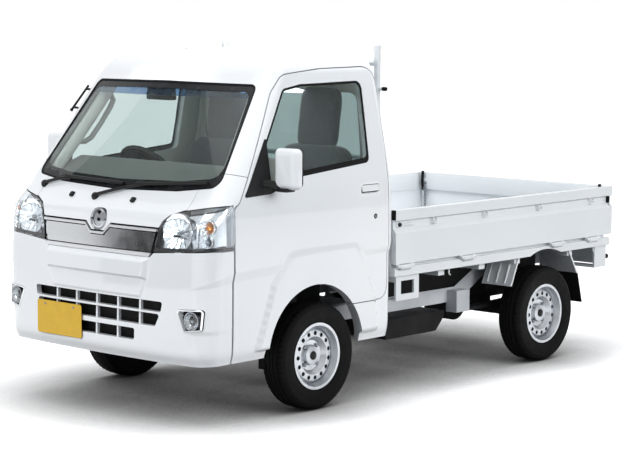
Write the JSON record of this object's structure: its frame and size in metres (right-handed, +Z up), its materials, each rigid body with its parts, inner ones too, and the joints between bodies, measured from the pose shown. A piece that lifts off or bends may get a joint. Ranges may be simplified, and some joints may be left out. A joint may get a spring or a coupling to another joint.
{
  "type": "kei truck",
  "caption": "Small cab-over pickup with hinged cab doors, steered front wheels, rolling wheels and a drop-side load bed with folding gates.",
  "frame": {"origin": "ground level under the middle of the bounding box", "axes": "+X forward along the vehicle, +Y to its left, +Z up"},
  "size_m": [3.395, 1.8, 1.78],
  "materials": {
    "body_paint": "gloss white paint",
    "bed_paint": "semi-gloss white paint",
    "frame_paint": "satin dark paint",
    "glass": "clear",
    "lamp_lens": "clear",
    "lamp_red": "clear red",
    "black_plastic": "fine grain",
    "dark_gloss": "satin gloss",
    "grey_trim": "fine grain",
    "chrome": "bright",
    "plate_yellow": "satin",
    "seat_cloth": "woven",
    "rubber": "matte",
    "tyre": "matte",
    "rim_paint": "silver paint",
    "iron": "painted black",
    "steel": "bare"
  },
  "bodies": {
    "chassis": {"cab_frame": "body_paint", "cab_floor": "grey_trim", "front_panel": "body_paint", "front_bumper": "body_paint", "grille_panel": "dark_gloss", "grille_trim": "chrome", "front_boss": "chrome", "bumper_mesh": "black_plastic", "headlamps": "lamp_lens", "fog_lamps": "lamp_lens", "number_plate": "plate_yellow", "plate_stay": "black_plastic", "windscreen": "glass", "roof_panel": "body_paint", "rear_wall": "body_paint", "rear_glass": "glass", "dashboard": "grey_trim", "steering_column": "black_plastic", "seat_left": "seat_cloth", "seat_right": "seat_cloth", "wipers": "black_plastic", "bed_deck": "bed_paint", "headboard": "bed_paint", "guard_frame": "bed_paint", "chassis_frame": "frame_paint", "rear_axle": "iron", "leaf_springs": "iron", "front_suspension": "iron", "engine": "iron", "propshaft": "steel", "fuel_tank": "black_plastic", "exhaust": "steel", "rear_lamps": "lamp_red", "mudguards": "bed_paint", "mudflaps": "rubber"},
    "steering_wheel": {"steering_wheel": "black_plastic"},
    "door_left": {"door_left": "body_paint", "door_glass_left": "glass", "mirror_left": "body_paint"},
    "door_right": {"door_right": "body_paint", "door_glass_right": "glass", "mirror_right": "body_paint"},
    "gate_left": {"gate_left": "bed_paint"},
    "gate_right": {"gate_right": "bed_paint"},
    "gate_tail": {"gate_tail": "bed_paint"},
    "knuckle_left": {"knuckle_left": "iron"},
    "knuckle_right": {"knuckle_right": "iron"},
    "wheel_front_left": {"tyre_front_left": "tyre", "rim_front_left": "rim_paint"},
    "wheel_front_right": {"tyre_front_right": "tyre", "rim_front_right": "rim_paint"},
    "wheel_rear_left": {"tyre_rear_left": "tyre", "rim_rear_left": "rim_paint"},
    "wheel_rear_right": {"tyre_rear_right": "tyre", "rim_rear_right": "rim_paint"}
  },
  "joints": [
    {"name": "door_left_hinge", "type": "hinge", "parent": "chassis", "child": "door_left", "pos_m": [1.456, 0.72, 0.7], "axis": [0, 0, -1], "range_deg": [0, 65]},
    {"name": "door_right_hinge", "type": "hinge", "parent": "chassis", "child": "door_right", "pos_m": [1.456, -0.72, 0.7], "axis": [0, 0, 1], "range_deg": [0, 65]},
    {"name": "gate_left_hinge", "type": "hinge", "parent": "chassis", "child": "gate_left", "pos_m": [-0.68, 0.728, 0.655], "axis": [-1, 0, 0], "range_deg": [0, 180]},
    {"name": "gate_right_hinge", "type": "hinge", "parent": "chassis", "child": "gate_right", "pos_m": [-0.68, -0.728, 0.655], "axis": [1, 0, 0], "range_deg": [0, 180]},
    {"name": "gate_tail_hinge", "type": "hinge", "parent": "chassis", "child": "gate_tail", "pos_m": [-1.6885, 0, 0.655], "axis": [0, -1, 0], "range_deg": [0, 180]},
    {"name": "steer_left", "type": "hinge", "parent": "chassis", "child": "knuckle_left", "pos_m": [0.868, 0.545, 0.268], "axis": [0, 0, 1], "range_deg": [-35, 35]},
    {"name": "steer_right", "type": "hinge", "parent": "chassis", "child": "knuckle_right", "pos_m": [0.868, -0.545, 0.268], "axis": [0, 0, 1], "range_deg": [-35, 35]},
    {"name": "steering_wheel_turn", "type": "hinge", "parent": "chassis", "child": "steering_wheel", "pos_m": [1, -0.33, 1.115], "axis": [-0.766, 0, 0.6428], "range_deg": [-500, 500]},
    {"name": "spin_front_left", "type": "hinge", "parent": "knuckle_left", "child": "wheel_front_left", "pos_m": [0.868, 0.652, 0.268], "axis": [0, 1, 0], "continuous": true},
    {"name": "spin_front_right", "type": "hinge", "parent": "knuckle_right", "child": "wheel_front_right", "pos_m": [0.868, -0.652, 0.268], "axis": [0, 1, 0], "continuous": true},
    {"name": "spin_rear_left", "type": "hinge", "parent": "chassis", "child": "wheel_rear_left", "pos_m": [-1.032, 0.652, 0.268], "axis": [0, 1, 0], "continuous": true},
    {"name": "spin_rear_right", "type": "hinge", "parent": "chassis", "child": "wheel_rear_right", "pos_m": [-1.032, -0.652, 0.268], "axis": [0, 1, 0], "continuous": true}
  ],
  "couplings": [
    {"joint": "steer_right", "follows": "steer_left", "ratio": 1},
    {"joint": "steering_wheel_turn", "follows": "steer_left", "ratio": 14}
  ]
}
